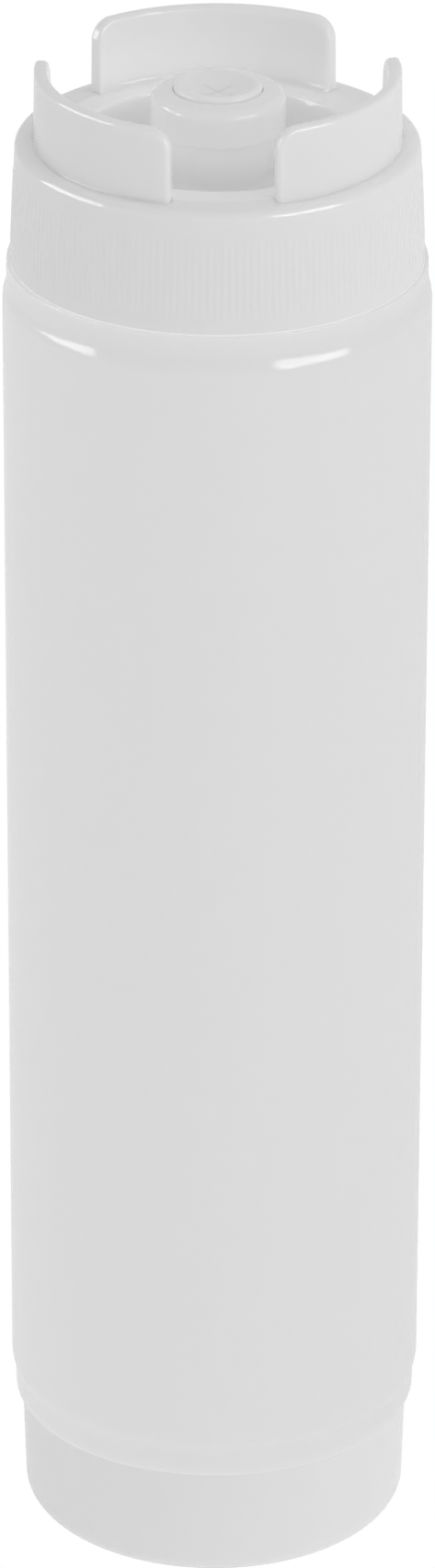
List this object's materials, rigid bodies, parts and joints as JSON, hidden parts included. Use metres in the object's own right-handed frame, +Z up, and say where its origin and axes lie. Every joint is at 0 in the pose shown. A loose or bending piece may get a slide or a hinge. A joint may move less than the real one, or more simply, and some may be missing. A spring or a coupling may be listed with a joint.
{
  "type": "squeeze sauce bottle",
  "caption": "Translucent squeeze bottle with a screw cap at each end: a ribbed dispensing cap with a slit valve and standing walls, and a plain refill cap.",
  "frame": {"origin": "centre of the face that the refill cap stands on, on the axis of the bottle", "axes": "+Z up the axis of the bottle, from the refill cap to the dispensing cap; -Y is the side that faces the viewer, with a gap between two standing walls"},
  "size_m": [0.07, 0.07, 0.2629],
  "materials": {
    "body_plastic": "natural translucent low-density polyethylene, satin gloss",
    "cap_plastic": "natural translucent polypropylene, satin gloss",
    "valve_silicone": "clear frosted silicone rubber",
    "seal_silicone": "white silicone rubber"
  },
  "bodies": {
    "bottle": {"bottle_body": "body_plastic"},
    "dispensing_seal": {"dispensing_cap_seal": "seal_silicone"},
    "dispensing_head": {"dispensing_cap": "cap_plastic", "valve_retainer": "cap_plastic", "dispensing_valve": "valve_silicone"},
    "refill_seal": {"refill_cap_seal": "seal_silicone"},
    "refill_end": {"refill_cap": "cap_plastic"}
  },
  "joints": [
    {"name": "dispensing_cap_lift", "type": "slide", "parent": "bottle", "child": "dispensing_seal", "axis": [0, 0, 1], "range_m": [0, 0.0085]},
    {"name": "dispensing_cap_turn", "type": "hinge", "parent": "dispensing_seal", "child": "dispensing_head", "pos_m": [0, 0, 0.2506], "axis": [0, 0, 1], "range_deg": [0, 720]},
    {"name": "refill_cap_lift", "type": "slide", "parent": "bottle", "child": "refill_seal", "axis": [0, 0, -1], "range_m": [0, 0.0085]},
    {"name": "refill_cap_turn", "type": "hinge", "parent": "refill_seal", "child": "refill_end", "pos_m": [0, 0, 0], "axis": [0, 0, -1], "range_deg": [0, 720]}
  ],
  "couplings": [
    {"joint": "dispensing_cap_lift", "follows": "dispensing_cap_turn", "m_per_rad": 0.00067375},
    {"joint": "refill_cap_lift", "follows": "refill_cap_turn", "m_per_rad": 0.00067375}
  ]
}
